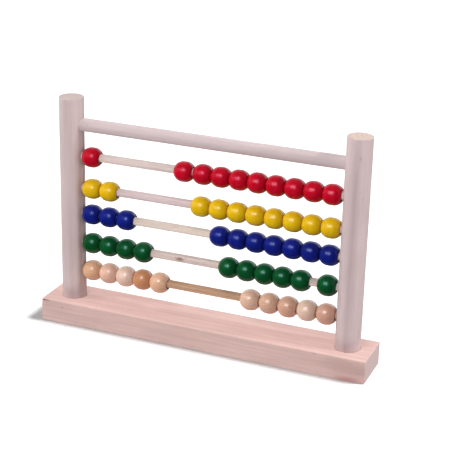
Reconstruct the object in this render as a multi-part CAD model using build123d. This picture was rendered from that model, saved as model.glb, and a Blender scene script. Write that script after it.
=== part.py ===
from build123d import *
import os
from math import acos, degrees, sqrt

# Wooden counting frame: a base block carries two round posts, a round top rail and five rods
# tie the posts together, and ten beads slide on each rod.
# Millimetres. Origin at the centre of the base's underside, +X to the right along the rods,
# +Y to the back, +Z up.

# ---- driving dimensions ----------------------------------------------------------------------

# posts
post_diameter = 21.5
post_spacing = 256.0           # between the two post axes
post_above_rail = 23.6         # from the rail's axis to the top of the post
post_edge_round = 0.8

# base block; its length follows from the posts and this overhang past each of them
base_overhang = 11.25
base_width = 42.0
base_thickness = 20.5
base_edge_round = 0.7

# splintered corner at the front left: a slit under a sliver of wood that has lifted
splinter_length = 14.0
splinter_depth = 2.6
splinter_height = 1.2
splinter_below_top = 0.75
splinter_root = 0.4            # how far down its height the slit is deepest
splinter_end_share = 0.03      # of the mouth's size, where the slit ends

# rail and rods
rail_diameter = 11.4
rod_diameter = 7.2
rows = ("red", "yellow", "blue", "green", "natural")
# height of each row's rod above the bar or the base face under it, from the lowest row up
height_above_next = {"natural": 26.8, "green": 25.8, "blue": 26.9, "yellow": 23.7, "red": 28.6}
rail_above_red_row = 27.6

# glued sockets, all of them blind
post_socket_depth = 14.0
post_socket_chamfer = 0.6
rail_socket_depth = 12.0
rod_socket_depth = 10.0
glue_gap = 0.05                # radial, around a post, the rail or a rod in its socket

# beads; all are the same length, and the rows differ a little in diameter
bead_diameter = {"red": 17.5, "yellow": 17.3, "blue": 17.5, "green": 18.2, "natural": 18.2}
bead_length = 16.0
bead_bore_play = 1.3           # the bore's diameter less the rod's
bead_top_clearance = 0.1       # the bead hangs on its rod with this gap at the top of the bore
bead_end_land = 0.95           # flat ring round the bore, before its rim is rounded
bead_rim_round = 0.85
bead_bore_round = 0.3
bead_least_straight = 0.2      # shortest straight middle of a bead's side

# where the beads stand at rest, row by row: how many are on the left, then the gaps between the
# left post and the first bead, within the left stack, within the right stack, and between the
# last bead and the right post; the gaps are between flat end faces
beads_per_row = 10
row_layout = {
    "red": (1, 0.9, 0.1, 0.15, 1.0),
    "yellow": (2, 0.8, 0.6, 0.4, 0.6),
    "blue": (3, 0.4, 0.5, 0.15, 0.7),
    "green": (4, 0.4, 0.5, 0.15, 1.2),
    "natural": (5, 0.2, 0.3, 0.9, 0.8),
}
# beads that stand a little apart: (colour, bead number) with the extra gap on its right
extra_gap = {("red", 2): 1.0, ("green", 9): 7.0}

# ---- places worked out from them -------------------------------------------------------------

post_radius = post_diameter / 2
post_x = post_spacing / 2
inner_face_x = post_x - post_radius
base_length = post_spacing + post_diameter + 2 * base_overhang
bead_bore_diameter = rod_diameter + bead_bore_play
bead_drop = bead_bore_play / 2 - bead_top_clearance

row_z = {}
top_so_far = base_thickness
for colour in reversed(rows):
    top_so_far += height_above_next[colour]
    row_z[colour] = top_so_far
rail_z = top_so_far + rail_above_red_row
post_top_z = rail_z + post_above_rail


def along_x(diameter, low_x, high_x, z):
    """A round bar along X from low_x to high_x, with its axis at height z."""
    bar = Cylinder(diameter / 2, high_x - low_x, rotation=(0, 90, 0))
    return Pos((low_x + high_x) / 2, 0, z) * bar


def slit_section(x, share):
    """The slit's triangular section at x, at a share of its size at the mouth."""
    front = -base_width / 2
    high = base_thickness - splinter_below_top
    depth, height = share * splinter_depth, share * splinter_height
    upright = Plane(origin=(x, front, high), x_dir=(0, 1, 0), z_dir=(-1, 0, 0))
    return upright * Polygon((0, 0), (depth, splinter_root * height), (0, height), align=None)


def make_splinter_slit():
    """The slit at the base's front left top corner, open at the front and the left, narrowing inwards."""
    left = -base_length / 2
    return loft([slit_section(left, 1), slit_section(left + splinter_length, splinter_end_share)])


def make_base():
    """Planed block with eased edges and a blind round socket for each post."""
    block = Pos(0, 0, base_thickness / 2) * Box(base_length, base_width, base_thickness)
    block = fillet(block.edges(), base_edge_round)
    downward = (Align.CENTER, Align.CENTER, Align.MAX)
    socket_radius = post_radius + glue_gap
    for side in (-1, 1):
        socket = Cylinder(socket_radius, post_socket_depth, align=downward)
        mouth_radius = socket_radius + post_socket_chamfer
        mouth = Cone(socket_radius, mouth_radius, post_socket_chamfer, align=downward)
        block -= Pos(side * post_x, 0, base_thickness) * (socket + mouth)
    return block - make_splinter_slit()


def make_post(side):
    """Dowel with an eased top, standing in the base, with blind sockets in its inner side.

    side is -1 for the left post and +1 for the right one."""
    foot_z = base_thickness - post_socket_depth
    post = Cylinder(post_radius, post_top_z - foot_z, align=(Align.CENTER, Align.CENTER, Align.MIN))
    post = fillet(post.edges().group_by(Axis.Z)[-1], post_edge_round)
    post = Pos(side * post_x, 0, foot_z) * post
    sockets = [(rail_diameter, rail_socket_depth, rail_z)]
    sockets += [(rod_diameter, rod_socket_depth, z) for z in row_z.values()]
    for diameter, depth, z in sockets:
        low_x, high_x = sorted((side * (inner_face_x + depth), 0))
        post -= along_x(diameter + 2 * glue_gap, low_x, high_x, z)
    return post


def make_rail():
    reach = inner_face_x + rail_socket_depth
    return along_x(rail_diameter, -reach, reach, rail_z)


def make_rod(colour):
    reach = inner_face_x + rod_socket_depth
    return along_x(rod_diameter, -reach, reach, row_z[colour])


def make_bead(diameter):
    """A turned bead at the origin, with its bore along X.

    Its side is a ball drawn out by a short straight middle, and it ends on a flat ring round the bore."""
    half = bead_length / 2
    outer = diameter / 2
    bore = bead_bore_diameter / 2
    ring = bore + bead_end_land
    straight = max(half - sqrt(outer ** 2 - ring ** 2), bead_least_straight / 2)
    end_angle = degrees(acos((half - straight) / outer))
    with BuildPart() as bead:
        with BuildSketch(Plane.XY):
            with BuildLine():
                right = CenterArc((straight, 0), outer, end_angle, 90 - end_angle)
                left = CenterArc((-straight, 0), outer, 90, 90 - end_angle)
                Line(right @ 1, left @ 0)
                Polyline(left @ 1, (-half, bore), (half, bore), right @ 0)
            make_face()
        revolve(axis=Axis.X)
        ends = bead.edges().filter_by(GeomType.CIRCLE).filter_by(lambda e: abs(e.center().X) > half - 0.01)
        fillet(ends.filter_by(lambda e: e.radius > bore + bead_end_land / 2), bead_rim_round)
        fillet(ends.filter_by(lambda e: e.radius < bore + bead_end_land / 2), bead_bore_round)
    return bead.part


def bead_places(colour):
    """X of each bead's middle in one row, from left to right."""
    left_count, left_post_gap, left_gap, right_gap, right_post_gap = row_layout[colour]
    left = []
    x = -inner_face_x + left_post_gap + bead_length / 2
    for number in range(1, left_count + 1):
        left.append(x)
        x += bead_length + left_gap + extra_gap.get((colour, number), 0)
    right = []
    x = inner_face_x - right_post_gap - bead_length / 2
    for number in range(beads_per_row, left_count, -1):
        right.append(x)
        x -= bead_length + right_gap + extra_gap.get((colour, number - 1), 0)
    return left + right[::-1]


def make_all():
    """Every piece of the counting frame, by name, in its place."""
    pieces = {
        "base": make_base(),
        "left_post": make_post(-1),
        "right_post": make_post(1),
        "top_rail": make_rail(),
    }
    for colour in rows:
        bead = make_bead(bead_diameter[colour])
        z = row_z[colour]
        pieces[f"{colour}_rod"] = make_rod(colour)
        for number, x in enumerate(bead_places(colour), start=1):
            pieces[f"{colour}_bead_{number:02d}"] = Pos(x, 0, z - bead_drop) * bead
    return pieces


os.makedirs("parts", exist_ok=True)
for name, piece in make_all().items():
    piece.label = name
    export_step(piece, f"parts/{name}.step")
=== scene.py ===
import math
import random

import bpy
from mathutils import Matrix, Vector


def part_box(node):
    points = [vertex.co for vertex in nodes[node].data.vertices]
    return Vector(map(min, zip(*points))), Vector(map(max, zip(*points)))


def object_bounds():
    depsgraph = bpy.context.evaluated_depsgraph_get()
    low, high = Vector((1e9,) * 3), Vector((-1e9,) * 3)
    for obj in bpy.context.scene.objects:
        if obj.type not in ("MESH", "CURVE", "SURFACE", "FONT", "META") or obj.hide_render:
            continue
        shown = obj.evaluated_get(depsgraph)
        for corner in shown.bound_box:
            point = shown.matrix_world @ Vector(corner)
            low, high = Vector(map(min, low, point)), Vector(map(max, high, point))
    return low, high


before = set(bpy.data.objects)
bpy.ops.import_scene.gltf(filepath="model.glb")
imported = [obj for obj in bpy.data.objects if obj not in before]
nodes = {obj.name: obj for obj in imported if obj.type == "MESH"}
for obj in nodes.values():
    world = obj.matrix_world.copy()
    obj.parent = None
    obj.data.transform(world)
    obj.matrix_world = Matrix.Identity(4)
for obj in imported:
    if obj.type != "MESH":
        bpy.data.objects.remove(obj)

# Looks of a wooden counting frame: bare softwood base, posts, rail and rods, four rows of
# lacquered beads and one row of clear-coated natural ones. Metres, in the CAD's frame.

cad_low, cad_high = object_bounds()
COLOURS = ("red", "yellow", "blue", "green", "natural")
BEADS_PER_ROW = 10
MM = 1000.0                        # shader coordinates are in millimetres
BORE_RADIUS = 4.25                 # of a bead, in millimetres

# how often each mark of the wood comes, along and across the fibres, per millimetre
WAVERS = (0.011, 0.05)             # slow bends of the rings
RIPPLES = (0.05, 0.35)             # quick bends of the rings
FIBRES = (0.06, 2.4)
STREAKS = (0.009, 0.33)
THIN_STREAKS = (0.02, 1.1)
FLECKS = (0.33, 3.6)
PATCHES = (0.02, 0.06)
STAIN_EDGES = (0.05, 0.6)
SEED_STEP = 137.0                  # how far along the noise each seed starts, in millimetres


def screen(red, green, blue):
    """The linear colour of an 8-bit screen colour."""
    def linear(value):
        share = value / 255
        return share / 12.92 if share <= 0.04045 else ((share + 0.055) / 1.055) ** 2.4
    return (linear(red), linear(green), linear(blue), 1.0)


def middle(node):
    """The middle of a CAD node's box, in millimetres."""
    low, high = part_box(node)
    return tuple((low + high) / 2 * MM)


class Tree:
    """One material's node tree, with short calls for the nodes that the looks below use."""

    def __init__(self, name):
        self.material = bpy.data.materials.new(name)
        self.material.use_nodes = True
        self.nodes = self.material.node_tree.nodes
        self.links = self.material.node_tree.links
        self.shader = self.nodes["Principled BSDF"]
        self.coordinates = self.add("TexCoord")

    def add(self, kind, **settings):
        node = self.nodes.new("ShaderNode" + kind)
        for key, value in settings.items():
            setattr(node, key, value)
        return node

    def feed(self, socket, value):
        if isinstance(value, bpy.types.NodeSocket):
            self.links.new(value, socket)
        elif socket.type == "VECTOR":
            socket.default_value = value[:3]
        else:
            socket.default_value = value

    def math(self, operation, first, second=0.0):
        node = self.add("Math", operation=operation)
        self.feed(node.inputs[0], first)
        self.feed(node.inputs[1], second)
        return node.outputs[0]

    def times(self, first, second):
        return self.math("MULTIPLY", first, second)

    def plus(self, first, second):
        return self.math("ADD", first, second)

    def minus(self, first, second):
        return self.math("SUBTRACT", first, second)

    def length_of(self, first, second):
        """The length of a flat vector with these two parts."""
        return self.math("SQRT", self.plus(self.times(first, first), self.times(second, second)))

    def vector(self, operation, first, second=(0, 0, 0)):
        node = self.add("VectorMath", operation=operation)
        self.feed(node.inputs[0], first)
        self.feed(node.inputs[1], second)
        return node.outputs["Value" if operation == "LENGTH" else "Vector"]

    def split(self, vector):
        node = self.add("SeparateXYZ")
        self.feed(node.inputs[0], vector)
        return list(node.outputs)

    def join(self, x, y, z):
        node = self.add("CombineXYZ")
        for socket, value in zip(node.inputs, (x, y, z)):
            self.feed(socket, value)
        return node.outputs[0]

    def place(self, vector, location=(0, 0, 0), rotation=(0, 0, 0), scale=(1, 1, 1)):
        node = self.add("Mapping")
        for socket, value in zip(node.inputs, (vector, location, rotation, scale)):
            self.feed(socket, value)
        return node.outputs[0]

    def noise(self, vector, scale=1.0, detail=2.0, roughness=0.5, distortion=0.0):
        node = self.add("TexNoise")
        for key, value in (("Vector", vector), ("Scale", scale), ("Detail", detail),
                           ("Roughness", roughness), ("Distortion", distortion)):
            self.feed(node.inputs[key], value)
        return node.outputs["Fac"]

    def fade(self, value, start, end, low=0.0, high=1.0, smooth=True):
        """low where value is at start, high where it is at end, and held outside them."""
        node = self.add("MapRange", interpolation_type="SMOOTHSTEP" if smooth else "LINEAR")
        for socket, number in zip(node.inputs, (value, start, end, low, high)):
            self.feed(socket, number)
        return node.outputs[0]

    def mix(self, share, first, second):
        node = self.add("Mix", data_type="RGBA")
        self.feed(node.inputs[0], share)
        self.feed(node.inputs[6], first)
        self.feed(node.inputs[7], second)
        return node.outputs[2]

    def shade(self, colour, value):
        """colour times a value that varies over the surface."""
        node = self.add("VectorMath", operation="SCALE")
        self.feed(node.inputs[0], colour)
        self.feed(node.inputs["Scale"], value)
        return node.outputs[0]

    def bump(self, height, distance, strength):
        node = self.add("Bump")
        self.feed(node.inputs["Strength"], strength)
        self.feed(node.inputs["Distance"], distance)
        self.feed(node.inputs["Height"], height)
        return node.outputs[0]

    def set(self, **sockets):
        """Feed the shader's sockets; Base_Color stands for Base Color."""
        for name, value in sockets.items():
            self.feed(self.shader.inputs[name.replace("_", " ")], value)


def bore_share(tree, diameter):
    """1 inside a bead's bore and 0 on its outside; diameter is the bead's, in millimetres."""
    from_middle = tree.vector("SUBTRACT", tree.coordinates.outputs["Generated"], (0.5, 0.5, 0.5))
    _, y, z = tree.split(tree.vector("MULTIPLY", from_middle, (diameter,) * 3))
    return tree.fade(tree.length_of(y, z), BORE_RADIUS + 0.25, BORE_RADIUS + 0.05)


def wood(name, grain, early, late, streak, end, *, seed, ring=2.4, pith=(-14.0, 9.0), lean=(0.02, 0.01),
         ring_share=0.45, streak_share=0.5, fleck_share=0.35, knots=(), edges=None, stains_and_painted_shade=(),
         turn=(0, 0, 0), centre=(0, 0, 0), roughness=0.62, coat=0.0, relief=1.0, wave=1.0, bore=0.0):
    """Solid wood whose rings, fibres and knots run through the piece.

    grain is the axis the fibres follow (0 for X, 2 for Z); pith is where the tree's middle lies
    beside the piece and lean is how that line slants, both across the grain in millimetres.
    A knot is x, y, z, size and depth of its core; each stain, and each patch of painted shade, is
    x, y, z, size, how many times longer it is along the fibres, its share of the colour, and its tint.
    edges is a block's middle and half its size, for the painted highlight along its edges, and bore
    is a bead's diameter, for the painted shade inside its bore."""
    tree = Tree(name)
    place = tree.shade(tree.coordinates.outputs["Object"], MM)
    if any(turn) or any(centre):
        place = tree.place(tree.vector("SUBTRACT", place, centre), rotation=turn)
    parts = tree.split(place)
    along = parts.pop(grain)
    side_a, side_b = parts
    shift = tree.plus(along, SEED_STEP * seed)

    def stretched(scales):
        along_scale, across_scale = scales
        return tree.join(tree.times(shift, along_scale), tree.times(side_a, across_scale),
                         tree.times(side_b, across_scale))

    def marks(scales, detail, roughness=0.5):
        return tree.noise(stretched(scales), 1, detail, roughness)

    # knots bend the rings around them and darken to a core
    bend = 0.0
    core = 0.0
    for x, y, z, size, depth in knots:
        away = tree.vector("SUBTRACT", place, (x, y, z))
        squeeze = [1 / size] * 3
        squeeze[grain] = 0.55 / size
        far = tree.vector("LENGTH", tree.vector("MULTIPLY", away, tuple(squeeze)))
        bend = tree.plus(bend, tree.fade(far, 3.4, 0.0, 0.0, size * 1.3))
        wobble = tree.times(tree.noise(place, 1.1, 2), 0.5)
        core = tree.math("MAXIMUM", core, tree.fade(tree.plus(far, wobble), 1.35, 0.55, 0.0, depth))

    # rings round the pith
    waver = tree.times(tree.minus(marks(WAVERS, 2), 0.5), 9.0 * wave)
    ripple = tree.times(tree.minus(marks(RIPPLES, 3), 0.5), 1.6 * wave)
    a = tree.plus(tree.minus(side_a, pith[0]), tree.plus(tree.times(along, lean[0]), waver))
    b = tree.plus(tree.minus(side_b, pith[1]), tree.times(along, lean[1]))
    radius = tree.plus(tree.plus(tree.length_of(a, b), ripple), bend)
    uneven = tree.times(tree.noise(tree.join(radius, 0.0, 0.0), 0.21 / ring, 1), 2.6)
    phase = tree.math("FRACT", tree.plus(tree.math("DIVIDE", radius, ring), uneven))
    rings = tree.times(tree.fade(phase, 0.15, 0.86), tree.fade(phase, 1.0, 0.93))

    fibre = marks(FIBRES, 5, 0.62)
    streaks = tree.fade(marks(STREAKS, 4, 0.6), 0.42, 0.66)
    thin = tree.fade(marks(THIN_STREAKS, 3, 0.55), 0.56, 0.74)
    flecks = tree.fade(marks(FLECKS, 2), 0.66, 0.76)
    patch = marks(PATCHES, 2)

    colour = tree.mix(tree.times(rings, ring_share), early, late)
    colour = tree.mix(tree.times(streaks, streak_share), colour, streak)
    colour = tree.mix(tree.times(thin, streak_share * 0.6), colour, streak)
    colour = tree.mix(tree.times(flecks, fleck_share), colour, tree.shade(late, 0.62))
    # each patch darkens the wood towards its tint: some are real stains, some are painted shade
    for x, y, z, size, stretch, share, tint in stains_and_painted_shade:
        away = tree.vector("SUBTRACT", place, (x, y, z))
        squeeze = [1 / size] * 3
        squeeze[grain] = 1 / (size * stretch)
        far = tree.vector("LENGTH", tree.vector("MULTIPLY", away, tuple(squeeze)))
        far = tree.plus(far, tree.times(marks(STAIN_EDGES, 3), 0.7))
        colour = tree.mix(tree.fade(far, 1.5, 0.5, 0.0, share), colour, tint)
    light = tree.plus(tree.fade(fibre, 0.25, 0.75, -0.045, 0.045, False),
                      tree.fade(patch, 0.3, 0.7, 0.94, 1.05, False))
    colour = tree.shade(colour, light)

    # end grain, where the surface faces along the fibres
    facing = tree.split(tree.coordinates.outputs["Normal"])[grain] if not any(turn) else 0.0
    ends = tree.fade(tree.math("ABSOLUTE", facing), 0.72, 0.92)
    rings_end = tree.mix(tree.times(rings, 0.3), end, late)
    mottle = tree.fade(tree.noise(place, 2.6, 3), 0.3, 0.7, 0.93, 1.05, False)
    colour = tree.mix(tree.times(ends, 0.85), colour, tree.shade(rings_end, mottle))
    if knots:
        colour = tree.mix(core, colour, tree.shade(late, 0.33))

    # a painted highlight makes a block's edges paler, as where light catches them
    if edges:
        block_middle, block_half = edges
        away = [tree.minus(half, tree.math("ABSOLUTE", tree.minus(part, mid)))
                for part, mid, half in zip(tree.split(place), block_middle, block_half)]
        pairs = [tree.math("MAXIMUM", away[i], away[j]) for i, j in ((0, 1), (1, 2), (0, 2))]
        edge = tree.math("MINIMUM", tree.math("MINIMUM", pairs[0], pairs[1]), pairs[2])
        ragged = tree.times(tree.noise(place, 0.35, 4, 0.65), 2.4)
        painted_edge_highlight = tree.fade(tree.plus(edge, ragged), 1.9, 0.7)
        colour = tree.mix(tree.times(painted_edge_highlight, 0.45), colour, tree.shade(end, 1.06))

    # painted shade: the inside of a bead's bore is darkened
    if bore:
        colour = tree.mix(bore_share(tree, bore), colour, tree.shade(late, 0.22))
    rough = tree.plus(tree.fade(fibre, 0.3, 0.7, roughness - 0.08, roughness + 0.08, False),
                      tree.times(ends, 0.12))
    height = tree.plus(tree.times(fibre, 0.7), tree.times(rings, 0.5))
    height = tree.minus(height, tree.times(flecks, 0.8))
    height = tree.minus(height, tree.times(core, 1.5))
    tree.set(Base_Color=colour, Roughness=rough, Specular_IOR_Level=0.32, Coat_Weight=coat,
             Coat_Roughness=0.2, Normal=tree.bump(height, 0.00011 * relief, 0.9))
    return tree.material


def lacquer(name, colour, deep, worn_colour, sheen, seed, diameter, roughness=0.31, coat=0.22):
    """Thick gloss lacquer on a turned bead: uneven film, faint lathe grooves, knocked rims, and painted
    shade at its ends and inside its bore.
    """
    tree = Tree(name)
    place = tree.shade(tree.coordinates.outputs["Object"], MM)
    x = tree.split(place)[0]
    share_along = tree.split(tree.coordinates.outputs["Generated"])[0]
    film = tree.noise(tree.place(place, location=(seed, 0, 0)), 0.13, 2)
    cloud = tree.noise(tree.place(place, location=(0, seed, 0)), 0.5, 3, 0.6)
    grooves = tree.noise(tree.join(tree.plus(x, seed), tree.times(film, 1.4), 0.0), 1.35, 2, 0.6)
    specks = tree.fade(tree.noise(place, 2.1, 1), 0.73, 0.79)
    end = tree.math("ABSOLUTE", tree.minus(share_along, 0.5))

    base = tree.mix(tree.fade(film, 0.25, 0.75, 0.45, 0.9), deep, colour)
    base = tree.shade(base, tree.fade(cloud, 0.3, 0.7, 0.97, 1.03, False))
    # painted shade at the bead's ends, where it meets its neighbours
    painted_end_shade = tree.fade(end, 0.40, 0.475)
    base = tree.mix(tree.times(painted_end_shade, 0.6), base, deep)
    chips = tree.times(tree.fade(tree.noise(place, 0.95, 4, 0.7), 0.62, 0.68), tree.fade(end, 0.455, 0.48))
    base = tree.mix(tree.times(chips, 0.3), base, worn_colour)
    base = tree.mix(tree.times(specks, 0.25), base, tree.shade(deep, 0.6))
    # painted shade: the inside of the bore is darkened
    inside = bore_share(tree, diameter)
    base = tree.mix(inside, base, tree.shade(deep, tree.fade(cloud, 0.3, 0.7, 0.12, 0.3)))
    rough = tree.plus(tree.fade(cloud, 0.3, 0.7, roughness - 0.02, roughness + 0.03, False),
                      tree.times(tree.math("MAXIMUM", chips, inside), 0.4))
    height = tree.plus(tree.times(grooves, 0.5), tree.times(film, 1.2))
    height = tree.minus(height, tree.times(chips, 0.6))
    tree.set(Base_Color=base, Roughness=rough, Specular_IOR_Level=0.5, Specular_Tint=sheen,
             Coat_Weight=coat, Coat_Roughness=0.2, Normal=tree.bump(height, 0.0001, 0.1))
    return tree.material


def give(node, material):
    """The CAD node shows this material."""
    mesh = nodes[node].data
    mesh.materials.clear()
    mesh.materials.append(material)


# ---- bare wood -------------------------------------------------------------------------------

base_low, base_high = (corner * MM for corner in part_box("base"))
base_middle = tuple((base_low + base_high) / 2)
base_half = tuple((base_high - base_low) / 2)
left_x = middle("left_post")[0]
right_x = middle("right_post")[0]
rail_z = middle("top_rail")[2]
left_post_low, left_post_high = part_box("left_post")
post_radius = (left_post_high.x - left_post_low.x) / 2 * MM
front_y = base_low.y
top_z = base_high.z

give("base", wood(
    "base_softwood", 0, screen(233, 199, 191), screen(222, 176, 168), screen(204, 170, 172),
    screen(228, 208, 206),
    seed=3, ring=3.1, pith=(16.0, -34.0), lean=(0.016, 0.012), ring_share=0.25, streak_share=0.32,
    knots=((left_x - 1.5, front_y, top_z - 5.2, 0.55, 0.9), (right_x - 22, front_y, top_z - 1.8, 0.9, 0.3)),
    # the first patch is painted shade in the split at the left front corner
    stains_and_painted_shade=((base_low.x + 4.0, front_y + 1.0, top_z - 1.6, 1.1, 7.0, 0.85, screen(128, 88, 74)),
            # these two patches are painted shade on the front's right end, one low by its foot
            (right_x + 8, front_y, 1.0, 3.4, 4.5, 0.7, screen(200, 128, 126)),
            (right_x + 6, front_y, 12.0, 9.0, 4.0, 0.45, screen(188, 150, 148))),
    edges=(base_middle, base_half), roughness=0.66, wave=1.4))

give("left_post", wood(
    "left_post_wood", 2, screen(204, 184, 184), screen(184, 160, 158), screen(174, 148, 150),
    screen(196, 180, 174),
    seed=7, ring=3.6, pith=(left_x + 6.0, 22.0), lean=(0.018, -0.01), ring_share=0.07, streak_share=0.2,
    # this patch is painted shade of the rail and bead rows down the post's right side, tinted brown as
    # painted bounce light
    stains_and_painted_shade=((left_x + 9.0, -5.0, 80.0, 3.4, 30.0, 0.6, screen(162, 132, 118)),), wave=0.7))

give("right_post", wood(
    "right_post_wood", 2, screen(208, 188, 188), screen(188, 162, 164), screen(178, 152, 158),
    screen(214, 192, 178),
    seed=12, ring=4.3, pith=(right_x + 30.0, 16.0), lean=(0.006, 0.012), ring_share=0.06, streak_share=0.18,
    knots=((right_x + 4.1, -9.9, rail_z + 8.0, 1.3, 0.22), (right_x + 7.2, -8.0, rail_z - 25.6, 0.6, 0.3)),
    # this patch is painted shade: a darker strip down the post's front, between its lit left and right
    # sides
    stains_and_painted_shade=((right_x + 1.2, -post_radius, 100.0, 2.6, 60.0, 0.35, screen(178, 150, 158)),),
    wave=0.6))

give("top_rail", wood(
    "rail_wood", 0, screen(208, 190, 190), screen(192, 172, 174), screen(184, 164, 172),
    screen(208, 190, 184),
    seed=19, ring=2.8, pith=(4.0, rail_z - 18.0), lean=(0.02, 0.012), ring_share=0.2, streak_share=0.3,
    knots=((left_x + post_radius + 6.5, -5.2, rail_z + 1.6, 0.5, 0.8),), wave=0.5))

# each rod's early wood, late wood and streak tones
rod_tones = {
    "red": (screen(232, 214, 208), screen(212, 188, 180), screen(202, 180, 176)),
    "yellow": (screen(226, 204, 204), screen(206, 180, 180), screen(194, 170, 176)),
    "blue": (screen(234, 218, 208), screen(218, 194, 176), screen(204, 182, 170)),
    "green": (screen(228, 212, 206), screen(210, 184, 172), screen(190, 162, 152)),
    "natural": (screen(202, 164, 134), screen(180, 134, 102), screen(166, 124, 98)),
}
for row, colour in enumerate(COLOURS):
    early, late, streak = rod_tones[colour]
    _, _, rod_z = middle(f"{colour}_rod")
    knots, stains_and_painted_shade = (), ()
    if colour == "green":
        knots = ((-24.0, -3.2, rod_z + 0.6, 1.6, 0.5), (-8.0, -3.4, rod_z - 0.4, 0.7, 0.4))
        stains_and_painted_shade = ((-24.0, -3.2, rod_z + 0.4, 2.0, 2.6, 0.8, screen(158, 106, 80)),)
    give(f"{colour}_rod", wood(
        f"{colour}_rod_wood", 0, early, late, streak, screen(224, 204, 180),
        seed=23 + 5 * row, ring=1.7, pith=(2.5 + row, rod_z - 9.0 - 2 * row), lean=(0.014, 0.01),
        ring_share=0.42, streak_share=0.45, knots=knots, stains_and_painted_shade=stains_and_painted_shade, wave=0.35, roughness=0.58))

# ---- beads -----------------------------------------------------------------------------------


def bead_diameter(node):
    """In millimetres."""
    low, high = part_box(node)
    return (high.z - low.z) * MM


# colour, its thick and shaded tone, the tone where it has worn thin, its sheen, and its noise's start
lacquers = {
    "red": ((198, 4, 34), (156, 0, 20), (214, 96, 96), (255, 150, 195), 11.0),
    "yellow": ((226, 186, 2), (208, 156, 0), (232, 206, 120), (255, 240, 220), 37.0),
    "blue": ((16, 30, 132), (8, 14, 84), (96, 108, 168), (150, 170, 255), 59.0),
    "green": ((8, 82, 36), (2, 52, 22), (84, 140, 100), (160, 255, 240), 83.0),
}
for colour, (bright, deep, thin, sheen, seed) in lacquers.items():
    material = lacquer(f"{colour}_lacquer", screen(*bright), screen(*deep), screen(*thin), screen(*sheen),
                       seed, bead_diameter(f"{colour}_bead_01"))
    for number in range(1, BEADS_PER_ROW + 1):
        give(f"{colour}_bead_{number:02d}", material)

# each natural bead is cut from its own piece of wood: early wood, late wood and streak tones
natural_tones = (
    ((220, 172, 136), (198, 142, 106), (206, 158, 130)),
    ((228, 184, 162), (208, 154, 130), (214, 168, 152)),
    ((232, 198, 180), (214, 168, 146), (226, 194, 184)),
    ((204, 142, 100), (180, 112, 72), (188, 124, 92)),
    ((228, 182, 150), (208, 152, 118), (216, 174, 150)),
    ((226, 186, 162), (204, 154, 128), (214, 172, 150)),
    ((222, 178, 152), (200, 146, 118), (210, 166, 146)),
    ((216, 168, 144), (194, 138, 112), (204, 156, 136)),
    ((228, 194, 174), (206, 166, 144), (220, 186, 168)),
    ((212, 164, 142), (190, 134, 110), (200, 152, 134)),
)
cut = random.Random(5)
for number, tones in enumerate(natural_tones, start=1):
    node = f"natural_bead_{number:02d}"
    early, late, streak = (screen(*tone) for tone in tones)
    turn = (cut.uniform(-0.5, 0.5), cut.uniform(-0.5, 0.5), cut.uniform(-0.6, 0.6))
    give(node, wood(
        f"{node}_wood", 0, early, late, streak, early, seed=41 + 3 * number,
        ring=cut.uniform(1.1, 2.0), pith=(cut.uniform(-14, -5), cut.uniform(4, 12)), lean=(0.05, 0.03),
        ring_share=0.6, streak_share=0.4, fleck_share=0.3, turn=turn, centre=middle(node),
        roughness=0.4, coat=1.0, relief=0.3, wave=0.25, bore=bead_diameter(node)))

# ---- floor, light and camera -----------------------------------------------------------------

object_middle = (cad_low + cad_high) / 2


def make_collection(name, members):
    """A collection that only says what a light reaches or what shades it."""
    collection = bpy.data.collections.new(name)
    for member in members:
        collection.objects.link(member)
    return collection


ROOM_TINT = (1.0, 0.985, 0.99, 1)
ROOM_STRENGTH = 0.2
BEHIND = (-0.38, 0.92, 0.0)            # where gloss sees the room bright
GLOSS_ROOM = (0.1, 0.95, 0.01, 0.9)    # from, to, dark strength, bright strength
FLOOR_SIZE = 30
FLOOR_GLOW = 0.14
PAPER = (0.93, 0.94, 0.945, 1)


def make_floor():
    """A white floor that glows a little and darkens only where the base keeps the sun off it."""
    bpy.ops.mesh.primitive_plane_add(size=FLOOR_SIZE, location=(0, 0, 0))
    floor = bpy.context.object
    floor.name = "floor"
    tree = Tree("studio_white")
    tree.nodes.remove(tree.shader)
    glow = tree.add("Emission")
    glow.inputs["Strength"].default_value = FLOOR_GLOW
    paper = tree.add("BsdfDiffuse")
    paper.inputs["Color"].default_value = PAPER
    both = tree.add("AddShader")
    tree.links.new(glow.outputs[0], both.inputs[0])
    tree.links.new(paper.outputs[0], both.inputs[1])
    tree.links.new(both.outputs[0], tree.nodes["Material Output"].inputs["Surface"])
    floor.data.materials.append(tree.material)
    floor.visible_diffuse = False
    floor.visible_glossy = False
    return floor


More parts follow.
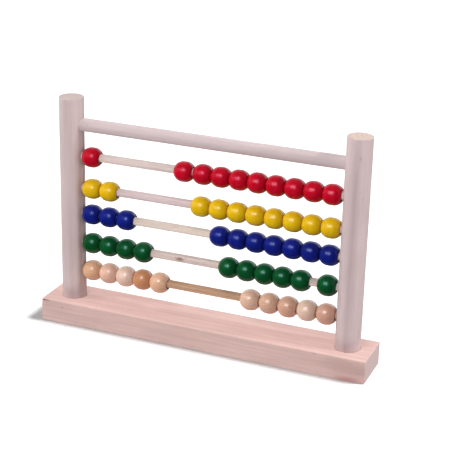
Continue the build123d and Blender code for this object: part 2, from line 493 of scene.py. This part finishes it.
def make_world():
    """A dim even room, white to the camera, and to gloss bright behind the object and dark in front."""
    world = bpy.data.worlds.new("studio")
    world.use_nodes = True
    tree, links = world.node_tree.nodes, world.node_tree.links
    path = tree.new("ShaderNodeLightPath")
    direction = tree.new("ShaderNodeTexCoord")
    behind = tree.new("ShaderNodeVectorMath")
    behind.operation = "DOT_PRODUCT"
    behind.inputs[1].default_value = BEHIND
    links.new(direction.outputs["Generated"], behind.inputs[0])
    gradient = tree.new("ShaderNodeMapRange")
    gradient.interpolation_type = "SMOOTHSTEP"
    for socket, number in zip(list(gradient.inputs)[1:5], GLOSS_ROOM):
        socket.default_value = number
    links.new(behind.outputs["Value"], gradient.inputs[0])
    shown = tree["Background"]
    shown.inputs["Color"].default_value = ROOM_TINT
    shown.inputs["Strength"].default_value = ROOM_STRENGTH
    for kind, strength in (("Is Glossy Ray", gradient.outputs[0]), ("Is Camera Ray", 1.0)):
        other = tree.new("ShaderNodeBackground")
        other.inputs["Color"].default_value = (1, 1, 1, 1)
        if isinstance(strength, float):
            other.inputs["Strength"].default_value = strength
        else:
            links.new(strength, other.inputs["Strength"])
        choose = tree.new("ShaderNodeMixShader")
        links.new(path.outputs[kind], choose.inputs[0])
        links.new(shown.outputs[0], choose.inputs[1])
        links.new(other.outputs[0], choose.inputs[2])
        shown = choose
    links.new(shown.outputs[0], tree["World Output"].inputs["Surface"])
    bpy.context.scene.world = world


def add_lamp(lamp, azimuth, elevation, distance, lit, shaded_by):
    """The lamp in the scene, aimed at the object's middle, with what it lights and what shades it.

    azimuth is from the front (-Y) towards +X; both angles are in degrees."""
    turn, rise = math.radians(azimuth), math.radians(elevation)
    away = Vector((math.sin(turn) * math.cos(rise), -math.cos(turn) * math.cos(rise), math.sin(rise)))
    holder = bpy.data.objects.new(lamp.name, lamp)
    bpy.context.scene.collection.objects.link(holder)
    holder.location = object_middle + away * distance
    holder.rotation_mode = "QUATERNION"
    holder.rotation_quaternion = (-away).to_track_quat("-Z", "Y")
    holder.light_linking.receiver_collection = lit
    if shaded_by is not None:
        holder.light_linking.blocker_collection = shaded_by
    return holder


def make_light(name, azimuth, elevation, distance, width, height, power, lit, glossy=False, shaded_by=None):
    """A soft panel, sizes in metres and power in watts. Only a glossy panel shows as a highlight."""
    lamp = bpy.data.lights.new(name, "AREA")
    lamp.shape = "RECTANGLE"
    lamp.size, lamp.size_y = width, height
    lamp.energy = power
    add_lamp(lamp, azimuth, elevation, distance, lit, shaded_by).visible_glossy = glossy


def make_sun(name, azimuth, elevation, spread, strength, lit, shaded_by):
    """An even light from far away, spread degrees wide."""
    lamp = bpy.data.lights.new(name, "SUN")
    lamp.energy = strength
    lamp.angle = math.radians(spread)
    add_lamp(lamp, azimuth, elevation, 1.0, lit, shaded_by).visible_glossy = False


floor = make_floor()
make_world()
beads = [nodes[name] for name in nodes if "_bead_" in name]
uprights = [nodes[name] for name in nodes if "_bead_" not in name and name != "base"]
the_object = make_collection("lit_object", nodes.values())
the_beads = make_collection("lit_beads", beads)
the_bars = make_collection("lit_bars", uprights)
the_timber = make_collection("lit_timber", uprights + [nodes["base"]])
the_floor = make_collection("lit_floor", [floor])
the_base = make_collection("base_alone", [nodes["base"]])

# name, azimuth, elevation, distance, width, height, power, what it lights
make_light("left_wall", -80, 18, 1.3, 0.9, 0.9, 9.8, the_object)
make_light("back_wall", 157, 26, 1.6, 1.5, 0.3, 4, the_object, glossy=True)
make_light("bead_window", -8, 37, 1.0, 0.46, 0.46, 5.4, the_beads, glossy=True)
make_light("bead_side", -46, 32, 1.2, 0.6, 0.6, 4.0, the_beads)
make_light("bead_bounce", -5, -30, 1.2, 0.8, 0.6, 2.6, the_beads, shaded_by=the_object)
make_light("timber_window", -5.5, 37, 1.0, 0.5, 0.5, 4.0, the_timber, glossy=True)
make_light("bar_key", 96, 41, 1.6, 0.2, 0.2, 11, the_bars)
make_light("bar_front", 0, -44, 1.3, 1.0, 0.7, 7.6, the_bars, shaded_by=the_object)
make_light("bar_right", 92, 2, 1.5, 0.8, 0.8, 6.4, the_bars, shaded_by=the_object)
make_light("bar_top", -20, 80, 1.4, 0.9, 0.9, 6.5, the_bars)
make_light("base_key", 96, 41, 1.6, 0.2, 0.2, 7.0, the_base)
make_light("base_front", 6, -30, 1.4, 1.0, 0.7, 4.6, the_base, shaded_by=the_object)
make_light("base_right", 84, 2, 1.5, 0.8, 0.8, 7.5, the_base, shaded_by=the_object)
make_light("base_top", -20, 84, 1.4, 0.9, 0.9, 7.0, the_base, shaded_by=the_base)
make_sun("floor_sun", 112, 50, 25, 5.0, the_floor, the_base)

# the camera looks down past the right post: where it stands, and its turn, dip and roll
CAMERA_PLACE = (0.4009, -0.9606, 0.5031)
CAMERA_YAW, CAMERA_DIP, CAMERA_ROLL = -0.38149, 0.36277, 0.02516
CAMERA_LENS, CAMERA_SENSOR = 105.85, 36.0


def make_camera():
    """The camera at CAMERA_PLACE, turned from looking along +Y."""
    ahead = Vector((math.sin(CAMERA_YAW) * math.cos(CAMERA_DIP),
                    math.cos(CAMERA_YAW) * math.cos(CAMERA_DIP), -math.sin(CAMERA_DIP)))
    level = Vector((math.cos(CAMERA_YAW), -math.sin(CAMERA_YAW), 0))
    above = level.cross(ahead)
    right = level * math.cos(CAMERA_ROLL) + above * math.sin(CAMERA_ROLL)
    up = above * math.cos(CAMERA_ROLL) - level * math.sin(CAMERA_ROLL)
    camera = bpy.data.objects.new("camera", bpy.data.cameras.new("camera"))
    bpy.context.scene.collection.objects.link(camera)
    camera.data.lens = CAMERA_LENS
    camera.data.sensor_width = CAMERA_SENSOR
    turned = Matrix((right, up, -ahead)).transposed().to_4x4()
    camera.matrix_world = Matrix.Translation(CAMERA_PLACE) @ turned
    bpy.context.scene.camera = camera


make_camera()
bpy.context.scene.view_settings.view_transform = "Standard"
